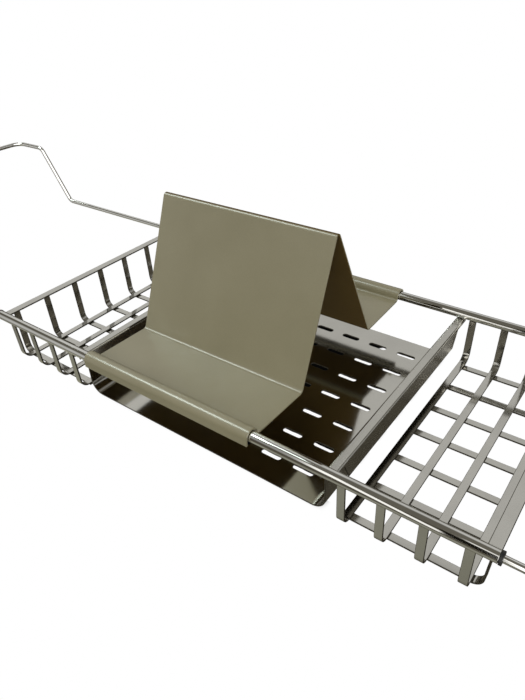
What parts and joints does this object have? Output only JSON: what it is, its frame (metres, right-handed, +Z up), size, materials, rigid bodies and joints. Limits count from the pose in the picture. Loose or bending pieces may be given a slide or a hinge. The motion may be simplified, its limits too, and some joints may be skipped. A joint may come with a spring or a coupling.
{
  "type": "bath caddy",
  "caption": "Extendable steel bath caddy: slotted centre tray, flat-bar basket at each end, sliding rod arms that rest on the tub rim and a folded book stand hooked over the rails",
  "frame": {"origin": "On the plane of the lowest basket bars' undersides, midway between the two rails and midway between the two arms' cross bars at rest", "axes": "X along the rails, from the left arm to the right arm; Y from the front rail to the rear rail; Z up"},
  "size_m": [1.061, 0.2534, 0.16],
  "materials": {
    "polished_steel": "polished stainless steel",
    "stand_paint": "satin greige powder coat",
    "black_plastic": "matt black moulded plastic"
  },
  "bodies": {
    "frame": {"front_rail": "polished_steel", "rear_rail": "polished_steel", "left_front_end_cap": "black_plastic", "left_rear_end_cap": "black_plastic", "right_front_end_cap": "black_plastic", "right_rear_end_cap": "black_plastic", "centre_tray": "polished_steel", "left_basket_hoop_1": "polished_steel", "left_basket_hoop_2": "polished_steel", "left_basket_hoop_3": "polished_steel", "left_basket_hoop_4": "polished_steel", "left_basket_bar_1": "polished_steel", "left_basket_bar_2": "polished_steel", "left_basket_bar_3": "polished_steel", "left_basket_bar_4": "polished_steel", "left_basket_bar_5": "polished_steel", "left_basket_bar_6": "polished_steel", "left_basket_bar_7": "polished_steel", "left_basket_rim": "polished_steel", "right_basket_hoop_1": "polished_steel", "right_basket_hoop_2": "polished_steel", "right_basket_hoop_3": "polished_steel", "right_basket_hoop_4": "polished_steel", "right_basket_bar_1": "polished_steel", "right_basket_bar_2": "polished_steel", "right_basket_bar_3": "polished_steel", "right_basket_bar_4": "polished_steel", "right_basket_bar_5": "polished_steel", "right_basket_bar_6": "polished_steel", "right_basket_bar_7": "polished_steel", "right_basket_rim": "polished_steel"},
    "left_arm_body": {"left_arm": "polished_steel", "left_front_arm_stop": "black_plastic", "left_rear_arm_stop": "black_plastic"},
    "right_arm_body": {"right_arm": "polished_steel", "right_front_arm_stop": "black_plastic", "right_rear_arm_stop": "black_plastic"},
    "book_stand_body": {"book_stand": "stand_paint"}
  },
  "joints": [
    {"name": "left_arm_slide", "type": "slide", "parent": "frame", "child": "left_arm_body", "axis": [-1, 0, 0], "range_m": [-0.187, 0.0323]},
    {"name": "right_arm_slide", "type": "slide", "parent": "frame", "child": "right_arm_body", "axis": [1, 0, 0], "range_m": [-0.187, 0.0323]},
    {"name": "book_stand_slide", "type": "slide", "parent": "frame", "child": "book_stand_body", "axis": [1, 0, 0], "range_m": [-0.0139, 0.057]}
  ]
}
